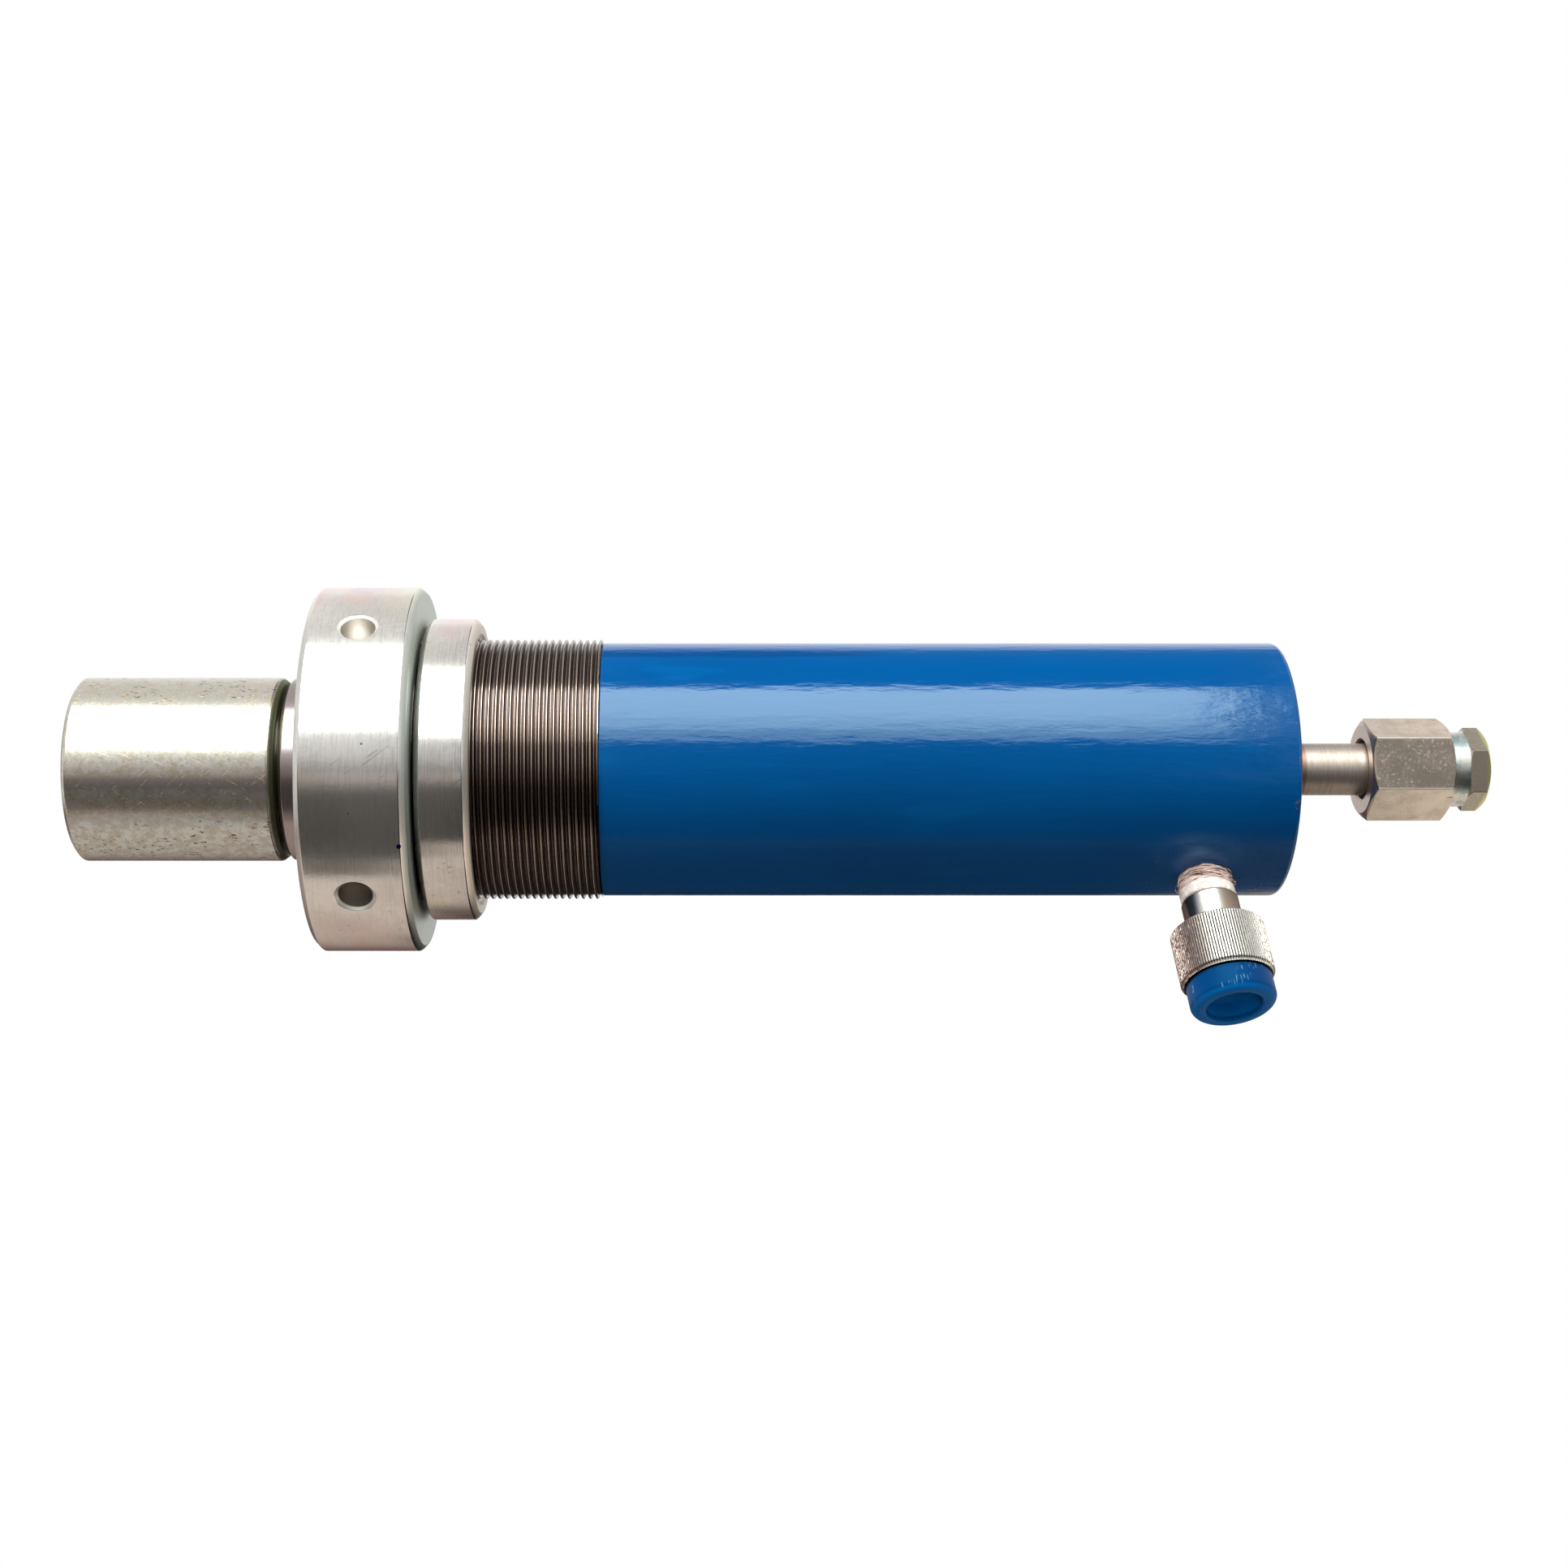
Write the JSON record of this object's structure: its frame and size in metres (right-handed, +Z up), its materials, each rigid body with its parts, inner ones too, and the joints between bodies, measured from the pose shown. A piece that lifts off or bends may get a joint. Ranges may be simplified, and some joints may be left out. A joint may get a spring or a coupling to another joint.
{
  "type": "hydraulic press cylinder",
  "caption": "Single-acting hydraulic ram with a threaded collar clamped by ring nuts, capped plunger, side quick coupler with dust cap and plugged rear pipe union.",
  "frame": {"origin": "on the ram's axis, in the plane of the ring nut's rear face, where a press head clamps the threaded collar", "axes": "+X along the axis from the rod cap to the rear union, +Z up with the side coupler below, -Y towards the side that carries the coupler"},
  "size_m": [0.4043, 0.105, 0.1229],
  "materials": {
    "blue_paint": "glossy royal blue enamel",
    "dark_steel": "bare dark steel, cut thread",
    "turned_steel": "turned, bright zinc plated",
    "zinc_plate": "zinc plated, lightly yellow passivated",
    "ground_steel": "ground bare steel",
    "nickel_plate": "dull nickel plated",
    "spring_steel": "oiled spring steel",
    "bronze": "bearing bronze",
    "braze": "copper braze",
    "seal_polymer": "black seal polyurethane",
    "wear_polymer": "filled guide ring polymer",
    "hemp": "loose hemp fibre",
    "tape": "white thread tape",
    "blue_plastic": "moulded blue plastic"
  },
  "bodies": {
    "barrel": {"barrel_tube": "blue_paint", "threaded_collar": "dark_steel", "base_plug": "blue_paint", "rod_wiper": "seal_polymer", "rod_seal": "seal_polymer", "guide_bush": "bronze", "base_spring_pin": "spring_steel", "return_spring": "spring_steel", "stub_pipe": "ground_steel", "pipe_braze": "braze", "pipe_collar": "ground_steel", "coupler_body": "nickel_plate", "hemp_wrap": "hemp", "tape_wrap": "tape", "sleeve_retaining_ring": "spring_steel", "coupler_o_ring": "seal_polymer", "valve_spring": "spring_steel"},
    "rod": {"plunger": "ground_steel", "rod_cap": "zinc_plate", "nose_spring_pin": "spring_steel", "piston": "turned_steel", "piston_guide_ring": "wear_polymer", "piston_backup_ring": "wear_polymer", "piston_seal": "seal_polymer", "piston_nut": "turned_steel"},
    "lock_ring_body": {"lock_ring": "turned_steel"},
    "ring_nut_body": {"ring_nut": "turned_steel"},
    "union_nut_body": {"union_nut": "nickel_plate"},
    "plug_body": {"blanking_plug": "zinc_plate"},
    "sleeve_body": {"coupler_sleeve": "nickel_plate"},
    "dust_cap_body": {"dust_cap": "blue_plastic"},
    "poppet_body": {"check_poppet": "spring_steel"}
  },
  "joints": [
    {"name": "plunger_travel", "type": "slide", "parent": "barrel", "child": "rod", "axis": [-1, 0, 0], "range_m": [0, 0.15], "stiffness_N_per_m": 900, "springref_m": -0.1, "deforming": ["return_spring"]},
    {"name": "ring_nut_turn", "type": "hinge", "parent": "lock_ring_body", "child": "ring_nut_body", "pos_m": [0, 0, 0], "axis": [1, 0, 0], "range_deg": [-3600, 6120]},
    {"name": "rings_travel", "type": "slide", "parent": "barrel", "child": "lock_ring_body", "axis": [1, 0, 0], "range_m": [-0.0201, 0.0341]},
    {"name": "union_nut_turn", "type": "hinge", "parent": "barrel", "child": "union_nut_body", "pos_m": [0.282, 0, 0], "axis": [-1, 0, 0], "range_deg": [0, 1820]},
    {"name": "plug_travel", "type": "slide", "parent": "barrel", "child": "plug_body", "axis": [1, 0, 0], "range_m": [0, 0.0075]},
    {"name": "sleeve_turn", "type": "hinge", "parent": "barrel", "child": "sleeve_body", "pos_m": [0.2205, -0.01988, -0.03061], "axis": [0.0785, -0.5718, -0.8166], "continuous": true},
    {"name": "dust_cap_pull", "type": "slide", "parent": "sleeve_body", "child": "dust_cap_body", "axis": [0.0785, -0.5718, -0.8166], "range_m": [0, 0.02]},
    {"name": "poppet_travel", "type": "slide", "parent": "barrel", "child": "poppet_body", "axis": [-0.0785, 0.5718, 0.8166], "range_m": [0, 0.0035], "stiffness_N_per_m": 300, "springref_m": -0.004, "deforming": ["valve_spring"]}
  ],
  "couplings": [
    {"joint": "rings_travel", "follows": "ring_nut_turn", "m_per_rad": 0.00031831},
    {"joint": "union_nut_turn", "follows": "plug_travel", "rad_per_m": 4188.8}
  ]
}
